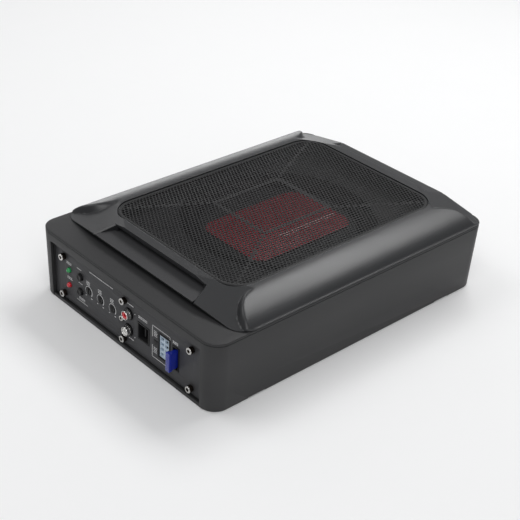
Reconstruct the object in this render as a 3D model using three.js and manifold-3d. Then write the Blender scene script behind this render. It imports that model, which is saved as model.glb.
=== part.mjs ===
// Powered under-seat car subwoofer: a box with a saddle cover, a grille over a flat-piston woofer,
// an amplifier inside and a control panel at one end.
// Millimetres, +Z up. X runs along the length with the control panel at -X, Y across the width.
// The origin is the middle of the base, on the surface that the box stands on.
import * as THREE from 'three';
import { mergeVertices } from 'three/addons/utils/BufferGeometryUtils.js';
import Module from 'manifold-3d';

const wasm = await Module();
wasm.setup();

// ---------------------------------------------------------------- driving dimensions
const GAP = 0.3;                // clearance between neighbouring pieces
const LENGTH = 345;
const WIDTH = 252;
const DECK_TOP = 70.5;
const DECK_THICK = 2.5;
const CORNER = 16;              // radius of the box's upright corners
const DRAFT = 1.5;              // how far the walls lean in at the base
const WALL = 3;

const COVER_FRONT = -149.5;     // panel-end edge of the saddle cover
const COVER_TOP = 86.3;
const COVER_CORNER = 19;
const COVER_SWEEP = 4;          // how far the panel-end edge falls back from the ramp to each corner
const SHOULDER_Y = 92.2;        // where the flat top turns into the shoulder arc
const SHOULDER_R = 46;
const RAMP_Z = 77.3;            // floor of the ramps at both ends of the cover
const RAMP_IN = 19.2;           // length of the panel-end ramp
const RAMP_OUT = 21.5;          // length of the far-end ramp
const LIP = 2;                  // thickness of the band over the slot behind each ramp
const EDGE_LIP = 1.4;           // thickness of the overhanging edge at the panel end
const UNDERCUT = 7;             // depth of the undercut below that edge

const GRILLE_X = 10;
const GRILLE_L = 261;
const GRILLE_W = 178.6;
const GRILLE_R = 24;
const GRILLE_Z = 84.5;
const SHEET = 1.2;
const CROWN = 2.6;              // rise of the embossed middle of the grille

const PANEL_X = -167.3;         // outer face of the control panel
const PANEL_THICK = 2;
const PANEL_HALF = 107.5;       // half the width of the panel opening
const PANEL_TOP = 60;
const STRIP_Z = 3.3;            // height of the base plate's turned-up front edge
const SCREW_Y = 92.7;
const SCREW_Z = [9.6, 49.3];
const AXIS_Z = 30;              // height of the row of trimmers

const WOOFER_X = 14.5;
const DECK_HOLE_R = 95;
const PISTON_TOP = 62.2;
const FACETS = 36;              // sides of the large turned pieces

const COLOURS = {
  shell: { color: 0x4a4a4c, roughness: 0.55, metalness: 0.2 },
  cover: { color: 0x47484b, roughness: 0.4, metalness: 0.1 },
  mesh: { color: 0x2c2d2e, roughness: 0.5, metalness: 0.6 },
  panel: { color: 0x48474a, roughness: 0.6, metalness: 0.2 },
  steel: { color: 0xb8b8ba, roughness: 0.3, metalness: 0.9 },
  black: { color: 0x121213, roughness: 0.5, metalness: 0.0 },
  rubber: { color: 0x191919, roughness: 0.8, metalness: 0.0 },
  red: { color: 0xa5202e, roughness: 0.5, metalness: 0.0 },
  white: { color: 0xe8e8e6, roughness: 0.5, metalness: 0.0 },
  nylon: { color: 0xa9b9cc, roughness: 0.5, metalness: 0.0 },
  green: { color: 0x1fae4a, roughness: 0.3, metalness: 0.0 },
  blue: { color: 0x16308c, roughness: 0.3, metalness: 0.0 },
  brass: { color: 0xb08d3c, roughness: 0.35, metalness: 0.9 },
  copper: { color: 0xb06a3a, roughness: 0.35, metalness: 0.9 },
  ferrite: { color: 0x3a3a3c, roughness: 0.7, metalness: 0.1 },
  board: { color: 0x1d5a38, roughness: 0.6, metalness: 0.0 },
  cloth: { color: 0xc9a25a, roughness: 0.9, metalness: 0.0 },
  alloy: { color: 0x9a9b9e, roughness: 0.4, metalness: 0.9 },
};

// ---------------------------------------------------------------- solids and geometry helpers
function solid(geometry) {
  const bare = geometry.clone();
  bare.deleteAttribute('normal');
  bare.deleteAttribute('uv');
  const merged = mergeVertices(bare, 1e-4);
  return new wasm.Manifold(new wasm.Mesh({
    numProp: 3,
    vertProperties: new Float32Array(merged.attributes.position.array),
    triVerts: new Uint32Array(merged.index.array),
  }));
}

function join(...pieces) {
  return pieces.reduce((all, piece) => all.add(piece));
}

function cut(body, ...cutters) {
  return cutters.reduce((left, cutter) => left.subtract(cutter), body);
}

function box(x0, x1, y0, y1, z0, z1) {
  const geometry = new THREE.BoxGeometry(x1 - x0, y1 - y0, z1 - z0);
  geometry.translate((x0 + x1) / 2, (y0 + y1) / 2, (z0 + z1) / 2);
  return solid(geometry);
}

function roundedShape(length, width, radius, cx = 0, cy = 0) {
  const shape = new THREE.Shape();
  const hx = length / 2 - radius;
  const hy = width / 2 - radius;
  shape.absarc(cx + hx, cy - hy, radius, -Math.PI / 2, 0);
  shape.absarc(cx + hx, cy + hy, radius, 0, Math.PI / 2);
  shape.absarc(cx - hx, cy + hy, radius, Math.PI / 2, Math.PI);
  shape.absarc(cx - hx, cy - hy, radius, Math.PI, 1.5 * Math.PI);
  return shape;
}

function polygon(points) {
  return new THREE.Shape(points.map(([x, y]) => new THREE.Vector2(x, y)));
}

function prismGeometry(shape, z0, z1, curveSegments = 6) {
  const geometry = new THREE.ExtrudeGeometry(shape, { depth: z1 - z0, bevelEnabled: false, curveSegments });
  geometry.translate(0, 0, z0);
  return geometry;
}

function prism(shape, z0, z1, curveSegments = 6) {
  return solid(prismGeometry(shape, z0, z1, curveSegments));
}

// An outline drawn in (Y, Z) and pushed along X.
function bar(shape, x0, x1, curveSegments = 6) {
  const geometry = new THREE.ExtrudeGeometry(shape, { depth: x1 - x0, bevelEnabled: false, curveSegments });
  const axes = new THREE.Matrix4().makeBasis(
    new THREE.Vector3(0, 1, 0),
    new THREE.Vector3(0, 0, 1),
    new THREE.Vector3(1, 0, 0),
  );
  geometry.applyMatrix4(axes);
  geometry.translate(x0, 0, 0);
  return solid(geometry);
}

// A round pin along X.
function pin(radius, x0, x1, y, z, sides = 16) {
  const geometry = new THREE.CylinderGeometry(radius, radius, x1 - x0, sides);
  geometry.rotateZ(-Math.PI / 2);
  geometry.translate((x0 + x1) / 2, y, z);
  return solid(geometry);
}

// A round post along Z.
function post(radius, x, y, z0, z1, sides = 16) {
  const geometry = new THREE.CylinderGeometry(radius, radius, z1 - z0, sides);
  geometry.rotateX(Math.PI / 2);
  geometry.translate(x, y, (z0 + z1) / 2);
  return solid(geometry);
}

// A profile of (radius, height) points turned about a Z axis through (x, y). Points run counter-clockwise.
function turned(points, x = 0, y = 0, sides = FACETS) {
  const profile = points.map(([r, h]) => new THREE.Vector2(r, h));
  const startsOffAxis = points[0][0] > 0;
  if (startsOffAxis) {
    profile.push(profile[0].clone());
  }
  const geometry = new THREE.LatheGeometry(profile, sides);
  geometry.rotateX(Math.PI / 2);
  geometry.translate(x, y, 0);
  return solid(geometry);
}

// ---------------------------------------------------------------- scene graph
const subwoofer = new THREE.Group();

function add(name, body, finish, parent = subwoofer) {
  const mesh = body.getMesh();
  const geometry = new THREE.BufferGeometry();
  geometry.setAttribute('position', new THREE.BufferAttribute(new Float32Array(mesh.vertProperties), 3));
  geometry.setIndex(new THREE.BufferAttribute(new Uint32Array(mesh.triVerts), 1));
  geometry.computeVertexNormals();
  const piece = new THREE.Mesh(geometry, new THREE.MeshStandardMaterial(COLOURS[finish]));
  piece.name = name;
  parent.add(piece);
}

// ---------------------------------------------------------------- box: shell, deck and base plate
function drafted(shape, z0, z1, top) {
  const geometry = prismGeometry(shape, z0, z1);
  const position = geometry.attributes.position;
  for (let i = 0; i < position.count; i += 1) {
    const lean = DRAFT * (top - position.getZ(i)) / top;
    position.setX(i, position.getX(i) * (1 - 2 * lean / LENGTH));
    position.setY(i, position.getY(i) * (1 - 2 * lean / WIDTH));
  }
  return solid(geometry);
}

const INNER_L = LENGTH - 2 * (WALL + DRAFT);
const INNER_W = WIDTH - 2 * (WALL + DRAFT);
const SHELL_TOP = DECK_TOP - DECK_THICK - GAP;
const FRAME_X = PANEL_X + PANEL_THICK + 1.5;   // face that the panel and its gasket bear on
const FRAME_THICK = 3;
const BOSS = { x: 152, y: 108, r: 5, rib: 2 };
const FRAME_BORDER = 6;         // how far the frame block reaches past the panel opening
const LUG = 6;                  // half the side of a screw lug
const SCREW_HOLE = 2.4;
const NOTCH = { x: 121, half: 10, depth: 8, height: 1.5 };

function panelScrewSpots() {
  return [-SCREW_Y, 0, SCREW_Y].flatMap((y) => SCREW_Z.map((z) => [y, z]));
}

// The frame inside the shell's -X end: a pocket for the panel, a bearing face and a lug at each screw.
function panelFrame() {
  const back = FRAME_X + FRAME_THICK;
  const reach = PANEL_HALF + FRAME_BORDER;
  const clear = PANEL_HALF - 4;
  const block = box(-LENGTH / 2 + WALL, back, -reach, reach, 2.5, SHELL_TOP);
  const opening = box(-LENGTH / 2, back + 1, -clear, clear, 6, PANEL_TOP - 4);
  const lugs = panelScrewSpots().map(([y, z]) => {
    const low = z < AXIS_Z;
    const z0 = low ? 4 : z - LUG;
    const z1 = low ? z + LUG : PANEL_TOP - 2;
    return box(FRAME_X, back, y - LUG, y + LUG, z0, z1);
  });
  const holes = panelScrewSpots().map(([y, z]) => pin(SCREW_HOLE, FRAME_X - 1, back + 1, y, z, 12));
  return cut(join(cut(block, opening), ...lugs), ...holes);
}

// The recess at each lower edge that a mounting bracket hooks into.
function bracketNotches() {
  return [-1, 1].flatMap((sx) => [-1, 1].map((sy) => {
    const x = sx * NOTCH.x;
    const y = sy * WIDTH / 2;
    return box(x - NOTCH.half, x + NOTCH.half, y - NOTCH.depth, y + NOTCH.depth, -1, NOTCH.height);
  }));
}

// A post for a deck screw, tied to the side wall by a rib.
function deckBoss(sx, sy) {
  const x = sx * BOSS.x;
  const y = sy * BOSS.y;
  const wall = sy * (WIDTH / 2 - 2);
  const rib = box(x - BOSS.rib, x + BOSS.rib, Math.min(y, wall), Math.max(y, wall), 2.5, SHELL_TOP);
  return join(post(BOSS.r, x, y, 2.5, SHELL_TOP), rib);
}

function bodyShell() {
  const outer = drafted(roundedShape(LENGTH, WIDTH, CORNER), 0, SHELL_TOP, DECK_TOP);
  const inner = prism(roundedShape(INNER_L, INNER_W, CORNER - WALL), -1, SHELL_TOP + 1);
  const bosses = [-1, 1].flatMap((sx) => [-1, 1].map((sy) => deckBoss(sx, sy)));
  const pocket = box(-LENGTH / 2 - 1, FRAME_X, -PANEL_HALF, PANEL_HALF, -1, PANEL_TOP);
  const shell = join(cut(outer, inner), panelFrame(), ...bosses);
  return cut(shell, pocket, ...bracketNotches());
}

function topDeck() {
  const plate = drafted(roundedShape(LENGTH, WIDTH, CORNER), DECK_TOP - DECK_THICK, DECK_TOP, DECK_TOP);
  return cut(plate, post(DECK_HOLE_R, WOOFER_X, 0, 60, 75, FACETS));
}

function bottomPlate() {
  const front = -LENGTH / 2 + 2;
  const side = PANEL_HALF - GAP;
  const plate = prism(roundedShape(INNER_L - 2 * GAP, INNER_W - 2 * GAP, CORNER - WALL), 0, 2);
  const sill = box(front, front + 8, -side, side, 0, 2);
  const edge = box(front, front + 1.5, -side, side, 0, STRIP_Z);
  return join(plate, sill, edge);
}

add('body_shell', bodyShell(), 'shell');
add('top_deck', topDeck(), 'shell');
add('bottom_plate', bottomPlate(), 'black');

// ---------------------------------------------------------------- saddle cover and grille
const COVER_BOTTOM = DECK_TOP + GAP;
const END_SLOPE = 0.284;        // fall of the corner facets along X
const SIDE_SLOPE = 0.172;       // fall of the corner facets along Y
const SHOULDER_END = { front: -104.1, back: 122.9, y: 126.9, r: 34.1 };
const RAMP_HALF = { edge: 70.7, inner: 63.7 };   // half width of a ramp at its edge and at its inner end
const HOLLOW = { x0: -98, x1: 118, y0: 96, y1: 122, thick: 2.5 };   // space under each shoulder

// Cross-section of the cover in (Y, Z): a flat top and a convex shoulder down each side.
function saddleSection(inset, bottom) {
  const half = WIDTH / 2 - 1.6 * inset;
  const radius = SHOULDER_R - inset;
  const centre = COVER_TOP - SHOULDER_R;
  const foot = Math.acos((half - SHOULDER_Y) / SHOULDER_R);
  const section = new THREE.Shape();
  section.moveTo(half, bottom);
  section.lineTo(SHOULDER_Y + radius * Math.cos(foot), centre + radius * Math.sin(foot));
  section.absarc(SHOULDER_Y, centre, radius, foot, Math.PI / 2);
  section.absarc(-SHOULDER_Y, centre, radius, Math.PI / 2, Math.PI - foot);
  section.lineTo(-half, bottom);
  return section;
}

// Lays a region, drawn in plan, on the sloping plane of a corner facet and thickens it upwards.
function onFacet(region, end, side, below, above, curveSegments = 10) {
  const geometry = prismGeometry(region, below, above, curveSegments);
  const rampEdge = end < 0 ? COVER_FRONT : LENGTH / 2;
  const height = RAMP_Z + END_SLOPE * Math.abs(rampEdge) + SIDE_SLOPE * 70;
  geometry.applyMatrix4(new THREE.Matrix4().set(
    1, 0, 0, 0,
    0, 1, 0, 0,
    -end * END_SLOPE, -side * SIDE_SLOPE, 1, height,
    0, 0, 0, 1,
  ));
  return solid(geometry);
}

// What a corner facet removes: everything above the plane, outside the rounded end of the shoulder.
function facetCutter(end, side) {
  const arcX = end < 0 ? SHOULDER_END.front : SHOULDER_END.back;
  const outX = end * 190;
  const away = end < 0 ? Math.PI : 0;
  const region = new THREE.Shape();
  region.moveTo(outX, side * 20);
  region.lineTo(arcX, side * 20);
  region.absarc(arcX, side * SHOULDER_END.y, SHOULDER_END.r, -side * Math.PI / 2, away, (end * side) < 0);
  region.lineTo(arcX + end * SHOULDER_END.r, side * 140);
  region.lineTo(outX, side * 140);
  return onFacet(region, end, side, 0, 40);
}

// The undercut below the cover's panel-end edge, which leaves a thin overhanging lip.
function undercut(side) {
  const region = polygon([
    [COVER_FRONT - 1, side * 69],
    [COVER_FRONT + UNDERCUT, side * 69],
    [COVER_FRONT + UNDERCUT, side * 102],
    [COVER_FRONT - 1, side * 108],
  ]);
  return onFacet(region, -1, side, -20, -EDGE_LIP);
}

// What a ramp removes: the recess down to the ramp's floor, and the slot under the lip above it.
function rampCutter(end) {
  const edge = end < 0 ? COVER_FRONT : LENGTH / 2;
  const inner = edge - end * (end < 0 ? RAMP_IN : RAMP_OUT);
  const recess = prism(polygon([
    [edge + end * 2, -RAMP_HALF.edge],
    [edge + end * 2, RAMP_HALF.edge],
    [inner, RAMP_HALF.inner],
    [inner, -RAMP_HALF.inner],
  ]), RAMP_Z, 100);
  const slotEnds = [inner + end, inner - end * 4];
  const slot = box(Math.min(...slotEnds), Math.max(...slotEnds), -61, 61, RAMP_Z, GRILLE_Z - LIP);
  return join(recess, slot);
}

function coverOutline() {
  const shape = new THREE.Shape();
  const back = LENGTH / 2;
  const half = WIDTH / 2;
  shape.absarc(back - CORNER, half - CORNER, CORNER, 0, Math.PI / 2);
  const corner = COVER_FRONT + COVER_SWEEP + COVER_CORNER;
  shape.absarc(corner, half - COVER_CORNER, COVER_CORNER, Math.PI / 2, Math.PI);
  shape.lineTo(COVER_FRONT, RAMP_HALF.edge);
  shape.lineTo(COVER_FRONT, -RAMP_HALF.edge);
  shape.absarc(corner, -half + COVER_CORNER, COVER_CORNER, Math.PI, 1.5 * Math.PI);
  shape.absarc(back - CORNER, -half + CORNER, CORNER, 1.5 * Math.PI, 2 * Math.PI);
  return shape;
}

function topCover() {
  const saddle = bar(saddleSection(0, COVER_BOTTOM), COVER_FRONT - 1, LENGTH / 2 + 1, 10)
    .intersect(prism(coverOutline(), 60, 100));
  const facets = [-1, 1].flatMap((end) => [-1, 1].map((side) => facetCutter(end, side)));
  const seat = prism(roundedShape(GRILLE_L + 1, GRILLE_W + 1, GRILLE_R + 0.5, GRILLE_X), GRILLE_Z - GAP, 100);
  const mouth = prism(roundedShape(GRILLE_L - 8, GRILLE_W - 8, GRILLE_R - 4, GRILLE_X), 60, 100);
  const underShoulders = join(
    box(HOLLOW.x0, HOLLOW.x1, HOLLOW.y0, HOLLOW.y1, 60, 100),
    box(HOLLOW.x0, HOLLOW.x1, -HOLLOW.y1, -HOLLOW.y0, 60, 100),
  );
  const hollow = bar(saddleSection(HOLLOW.thick, 60), HOLLOW.x0, HOLLOW.x1, 8).intersect(underShoulders);
  const underFront = box(COVER_FRONT - 1, COVER_FRONT + UNDERCUT, -70, 70, 60, RAMP_Z - EDGE_LIP);
  return cut(
    saddle,
    ...facets,
    rampCutter(-1),
    rampCutter(1),
    seat,
    mouth,
    hollow,
    underFront,
    undercut(-1),
    undercut(1),
  );
}

const HIP = { border: 16, halfX: 41, halfY: 36, shift: -6 };   // flat top of the grille's raised middle

// A sheet pressed up into a flat-topped hip: four folds run from its corners to a raised middle.
function hip(z0) {
  const geometry = new THREE.BoxGeometry(GRILLE_L - HIP.border, GRILLE_W - HIP.border, CROWN);
  const position = geometry.attributes.position;
  for (let i = 0; i < position.count; i += 1) {
    if (position.getZ(i) > 0) {
      position.setX(i, Math.sign(position.getX(i)) * HIP.halfX + HIP.shift);
      position.setY(i, Math.sign(position.getY(i)) * HIP.halfY);
    }
  }
  geometry.translate(GRILLE_X, 0, z0 + CROWN / 2);
  return solid(geometry);
}

function grille() {
  const rim = prism(roundedShape(GRILLE_L, GRILLE_W, GRILLE_R, GRILLE_X), GRILLE_Z, GRILLE_Z + SHEET);
  return cut(join(rim, hip(GRILLE_Z + SHEET - 0.01)), hip(GRILLE_Z - 0.4));
}

add('top_cover', topCover(), 'cover');
add('grille', grille(), 'mesh');

// ---------------------------------------------------------------- control panel and its screws
const LED_Y = 85;
const LED_Z = [21.8, 37.8];
const BUTTON_Y = 67.2;
const BUTTON_Z = [23.5, 39.2];
const BUTTON_R = 3.5;
const BUTTON_OUT = 2.6;
const BUTTON_TRAVEL = 1.6;
const POT_Y = [54.6, 36.8, 18.6];
const POT_R = 3.3;
const RCA_Y = -5.9;
const RCA_Z = [21.3, 38.2];
const RCA_R = 4.4;
const RCA_OUT = 5.4;
const RCA_SCREW = [2.9, 29.5];
const HIGH = { y: -26.8, z: 28.5, w: 16.4, h: 17.8 };
const POWER = { y: -55.5, z: 28.7, w: 16.4, h: 26 };
const LATCH = { width: 5.6, z0: 26.4, z1: 31 };
const FUSE = { y: -71.3, z: 27.6, w: 19.1, t: 5 };
const FUSE_OUT = 9.2;
const FUSE_SUNK = 2.4;
const HOLDER = { w: 24, t: 9 };

function aroundX(radius, y, z, sides = 16) {
  return pin(radius, PANEL_X - 1, PANEL_X + PANEL_THICK + 1, y, z, sides);
}

function window(y, z, w, h) {
  return box(PANEL_X - 1, PANEL_X + PANEL_THICK + 1, y - w / 2, y + w / 2, z - h / 2, z + h / 2);
}

function controlPanel() {
  const side = PANEL_HALF - GAP;
  const plate = box(PANEL_X, PANEL_X + PANEL_THICK, -side, side, STRIP_Z + GAP, PANEL_TOP - GAP);
  const latchY = POWER.y + (POWER.w + LATCH.width) / 2;
  const latchZ = (LATCH.z0 + LATCH.z1) / 2;
  const latchTall = LATCH.z1 - LATCH.z0 + 2 * GAP;
  return cut(
    plate,
    ...panelScrewSpots().map(([y, z]) => aroundX(SCREW_HOLE, y, z, 12)),
    ...LED_Z.map((z) => aroundX(2.9, LED_Y, z)),
    ...BUTTON_Z.map((z) => aroundX(BUTTON_R + 0.4, BUTTON_Y, z)),
    ...POT_Y.map((y) => aroundX(POT_R + 0.6, y, AXIS_Z)),
    ...RCA_Z.map((z) => aroundX(6, RCA_Y, z, 20)),
    aroundX(1.9, ...RCA_SCREW, 12),
    window(HIGH.y, HIGH.z, HIGH.w + 2 * GAP, HIGH.h + 2 * GAP),
    window(POWER.y, POWER.z, POWER.w + 2 * GAP, POWER.h + 2 * GAP),
    window(latchY, latchZ, LATCH.width + 1, latchTall),
    window(FUSE.y, FUSE.z, HOLDER.t + 2 * GAP, HOLDER.w + 2 * GAP),
  );
}

function panelGasket() {
  const x0 = PANEL_X + PANEL_THICK + GAP;
  const x1 = FRAME_X - GAP;
  const side = PANEL_HALF - GAP;
  const ring = box(x0, x1, -side, side, STRIP_Z + GAP, PANEL_TOP - GAP);
  return cut(ring, box(x0 - 1, x1 + 1, -side + 4, side - 4, STRIP_Z + 4, PANEL_TOP - 4.3));
}

// A socket-head screw along X: head outside, shank inwards, hexagon recess in the head.
function screwX(x, y, z, headR, headH, shankR, shankL) {
  const head = pin(headR, x - headH, x, y, z, 18);
  const shank = pin(shankR, x - 1, x + shankL, y, z, 12);
  return cut(join(head, shank), pin(headR * 0.5, x - headH - 1, x - headH * 0.35, y, z, 6));
}

add('control_panel', controlPanel(), 'panel');
add('panel_gasket', panelGasket(), 'rubber');
panelScrewSpots().forEach(([y, z], i) => {
  add(`panel_screw_${i + 1}`, screwX(PANEL_X - GAP, y, z, 3.3, 4.3, 2, 10), 'steel');
});
add('rca_screw', screwX(PANEL_X - GAP, ...RCA_SCREW, 2.7, 2.4, 1.5, 7), 'steel');

// ---------------------------------------------------------------- indicator lamps, buttons and trimmers
const BOARD_X = -157.6;         // front face of the upright control board

function lamp(z) {
  const lens = new THREE.SphereGeometry(2.5, 16, 10);
  lens.translate(PANEL_X - 0.6, LED_Y, z);
  return join(solid(lens), pin(2.5, PANEL_X - 0.6, BOARD_X - GAP, LED_Y, z, 16));
}

function button(z) {
  const front = PANEL_X - BUTTON_OUT;
  const rim = new THREE.CylinderGeometry(BUTTON_R - 0.6, BUTTON_R, 0.8, 16);
  rim.rotateZ(Math.PI / 2);
  rim.translate(front + 0.4, BUTTON_Y, z);
  return join(solid(rim), pin(BUTTON_R, front + 0.8, PANEL_X + 4, BUTTON_Y, z, 16));
}

function switchBody(z) {
  const front = PANEL_X + 4 + BUTTON_TRAVEL + 0.4;
  return box(front, BOARD_X - GAP, BUTTON_Y - 4.5, BUTTON_Y + 4.5, z - 4.5, z + 4.5);
}

// A slotted trimmer spindle, its face level with the panel.
function spindle(y) {
  const face = PANEL_X - 0.4;
  const cap = pin(POT_R, face, PANEL_X + 3, y, AXIS_Z, 20);
  const shaft = pin(2, PANEL_X + 2, PANEL_X + 5, y, AXIS_Z, 12);
  const slot = box(face - 1, face + 1.4, y - 0.6, y + 0.6, AXIS_Z - 2.6, AXIS_Z + 2.6);
  return cut(join(cap, shaft), slot);
}

function trimmerBody(y) {
  const body = box(PANEL_X + 3.4, BOARD_X - GAP, y - 5, y + 5, AXIS_Z - 5.5, AXIS_Z + 5.5);
  return cut(body, pin(2.4, PANEL_X + 3, PANEL_X + 5.5, y, AXIS_Z, 12));
}

add('protect_lamp', lamp(LED_Z[0]), 'red');
add('power_lamp', lamp(LED_Z[1]), 'green');
add('mode_button', button(BUTTON_Z[0]), 'black');
add('phase_button', button(BUTTON_Z[1]), 'black');
add('mode_switch', switchBody(BUTTON_Z[0]), 'black');
add('phase_switch', switchBody(BUTTON_Z[1]), 'black');
['gain', 'crossover', 'bass'].forEach((name, i) => {
  add(`${name}_spindle`, spindle(POT_Y[i]), 'black');
  add(`${name}_trimmer`, trimmerBody(POT_Y[i]), 'black');
});

// ---------------------------------------------------------------- sockets
const RCA_FRONT = PANEL_X - RCA_OUT;

function rcaBlock() {
  const boss = RCA_Z.map((z) => pin(5.6, PANEL_X - 1.4, PANEL_X + 3, RCA_Y, z, 20));
  const front = PANEL_X + PANEL_THICK + GAP;
  const block = box(front, BOARD_X - GAP, RCA_Y - 7, RCA_Y + 12, RCA_Z[0] - 5.2, RCA_Z[1] + 4.8);
  const bores = RCA_Z.map((z) => pin(RCA_R + GAP, PANEL_X - 4, BOARD_X - 2, RCA_Y, z, 20));
  const thread = pin(1.9, PANEL_X, PANEL_X + 8, ...RCA_SCREW, 12);
  return cut(join(block, ...boss), ...bores, thread);
}

function rcaSleeve(z) {
  const tube = pin(RCA_R, RCA_FRONT, BOARD_X - 2.4, RCA_Y, z, 20);
  return cut(tube, pin(RCA_R - 0.7, RCA_FRONT - 1, BOARD_X, RCA_Y, z, 20));
}

function rcaInsert(z) {
  const core = pin(RCA_R - 1, RCA_FRONT + 0.6, BOARD_X - 2.4, RCA_Y, z, 20);
  return cut(core, pin(1.6, RCA_FRONT - 1, PANEL_X + 3, RCA_Y, z, 12));
}

const SHROUD_WALL = 1.5;
const SHROUD_BACK = BOARD_X - 2.3;
const SHROUD_FRONT = PANEL_X - 0.4;

// An open-fronted rectangular shroud around the middle (y, z).
function shroud({ y, z, w, h }) {
  const hw = w / 2 - SHROUD_WALL;
  const hh = h / 2 - SHROUD_WALL;
  const outer = box(SHROUD_FRONT, BOARD_X - GAP, y - w / 2, y + w / 2, z - h / 2, z + h / 2);
  return cut(outer, box(PANEL_X - 1, SHROUD_BACK, y - hw, y + hw, z - hh, z + hh));
}

// The speaker-level input: a shroud with one contact tongue standing on its back wall.
function highLevelSocket() {
  const { y, z } = HIGH;
  const tongue = box(PANEL_X + 2, BOARD_X - 2, y - 0.9, y + 0.9, z - 4.5, z + 4.5);
  return join(shroud(HIGH), tongue);
}

// The supply input: a shroud with a latch block beside it.
function powerSocket() {
  const edge = POWER.y + POWER.w / 2;
  const latch = box(SHROUD_FRONT, PANEL_X + 5, edge - 0.5, edge + LATCH.width, LATCH.z0, LATCH.z1);
  return join(shroud(POWER), latch);
}

// The nylon terminal block inside the power socket, two columns of four square cells.
function powerTerminals() {
  const { y, z, w, h } = POWER;
  const hw = w / 2 - SHROUD_WALL - GAP;
  const hh = h / 2 - SHROUD_WALL - GAP;
  const block = box(PANEL_X + 0.4, BOARD_X - 2.6, y - hw, y + hw, z - hh, z + hh);
  const cells = [-1, 1].flatMap((sy) => [-1.5, -0.5, 0.5, 1.5].map((row) => {
    const cy = y + sy * 3.1;
    const cz = z + row * 5.3;
    return box(PANEL_X, PANEL_X + 5, cy - 1.9, cy + 1.9, cz - 1.7, cz + 1.7);
  }));
  return cut(block, ...cells);
}

const BLADE_Z = 6.6;            // distance of each blade from the middle of the fuse

function fuseHolder() {
  const { y, z } = FUSE;
  const front = PANEL_X - 0.5;
  const ht = HOLDER.t / 2;
  const hw = HOLDER.w / 2;
  const outer = box(front, BOARD_X + 4, y - ht, y + ht, z - hw, z + hw);
  const well = box(front - 1, PANEL_X + FUSE_SUNK + GAP, y - 3.4, y + 3.4, z - 10.8, z + 10.8);
  const slots = [-1, 1].map((s) => {
    const mid = z + s * BLADE_Z;
    return box(PANEL_X, BOARD_X + 2, y - 1.6, y + 1.6, mid - 3.6, mid + 3.6);
  });
  return cut(outer, well, ...slots);
}

// A spring contact lining the outer end of each slot of the fuse holder.
function fuseContact(s) {
  const { y, z } = FUSE;
  const near = z + s * (BLADE_Z + 2.8);
  const far = z + s * (BLADE_Z + 3.2);
  return box(PANEL_X + 3.4, BOARD_X + 1.6, y - 1.2, y + 1.2, Math.min(near, far), Math.max(near, far));
}

function bladeFuse() {
  const { y, z, w, t } = FUSE;
  const back = PANEL_X + FUSE_SUNK;
  const body = box(PANEL_X - FUSE_OUT, back, y - t / 2, y + t / 2, z - w / 2, z + w / 2);
  const waist = [-1, 1].map((s) => {
    const near = z + s * (w / 2 - 1.2);
    const far = z + s * w;
    return box(PANEL_X - FUSE_OUT + 3.4, back + 1, y - t, y + t, Math.min(near, far), Math.max(near, far));
  });
  const blades = [-1, 1].map((s) => {
    return box(back - 1, PANEL_X + 9, y - 0.4, y + 0.4, z + s * BLADE_Z - 2.4, z + s * BLADE_Z + 2.4);
  });
  return join(cut(body, ...waist), ...blades);
}

add('rca_block', rcaBlock(), 'black');
add('rca_sleeve_white', rcaSleeve(RCA_Z[0]), 'steel');
add('rca_sleeve_red', rcaSleeve(RCA_Z[1]), 'steel');
add('rca_insert_white', rcaInsert(RCA_Z[0]), 'white');
add('rca_insert_red', rcaInsert(RCA_Z[1]), 'red');
add('high_level_socket', highLevelSocket(), 'black');
add('power_socket', powerSocket(), 'black');
add('power_terminals', powerTerminals(), 'nylon');
add('fuse_holder', fuseHolder(), 'black');
add('fuse_contact_low', fuseContact(-1), 'brass');
add('fuse_contact_high', fuseContact(1), 'brass');
add('blade_fuse', bladeFuse(), 'blue');

// ---------------------------------------------------------------- woofer
const woofer = new THREE.Group();
woofer.position.set(WOOFER_X, 0, 0);
subwoofer.add(woofer);

const COIL_R = 19.5;
const SURROUND = { r: 83.75, roll: 6, z: 61.7 };
const BOLT_R = 99.4;            // circle that the basket's screws sit on
const BOLT_DEGREES = [45, 135, 225, 315];

function basket() {
  const bowl = turned([
    [24, 31.7], [51, 31.7], [54.5, 41], [63, 41], [95.6, 60], [95.6, 65.2], [103, 65.2], [103, 67.7],
    [93.3, 67.7], [93.3, 61.2], [87, 61.2], [87, 59.5], [61, 43], [52.6, 43], [49.3, 33.7], [24, 33.7],
  ]);
  const vents = [0, 1, 2, 3, 4, 5].map((i) => {
    const vent = box(66, 88, -16, 16, 35, 64).rotate([0, 0, 30 + 60 * i]);
    return vent.intersect(post(91, 0, 0, 30, 60, FACETS));
  });
  const holes = BOLT_DEGREES.map((deg) => {
    const a = deg * Math.PI / 180;
    return post(SCREW_HOLE, BOLT_R * Math.cos(a), BOLT_R * Math.sin(a), 60, 70, 12);
  });
  return cut(bowl, ...vents, ...holes);
}

function basketScrew(deg) {
  const a = deg * Math.PI / 180;
  const x = BOLT_R * Math.cos(a);
  const y = BOLT_R * Math.sin(a);
  return join(post(3.3, x, y, 62.6, 64.9, 14), post(1.9, x, y, 64, 67.7, 10));
}

function arc(r, z, radius, from, to, steps) {
  return Array.from({ length: steps + 1 }, (_, i) => {
    const a = from + (to - from) * i / steps;
    return [r + radius * Math.cos(a), z + radius * Math.sin(a)];
  });
}

// The half-roll between the piston's edge and the basket's ledge.
function surround() {
  const { r, roll, z } = SURROUND;
  return turned([
    [75.8, z - 0.2],
    ...arc(r, z - 0.2, roll - 1, Math.PI, 0, 8),
    [93, z - 0.2],
    [93, z + 0.8],
    ...arc(r, z, roll, 0.134, Math.PI - 0.134, 8),
    [75.8, z + 0.8],
  ]);
}

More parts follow.
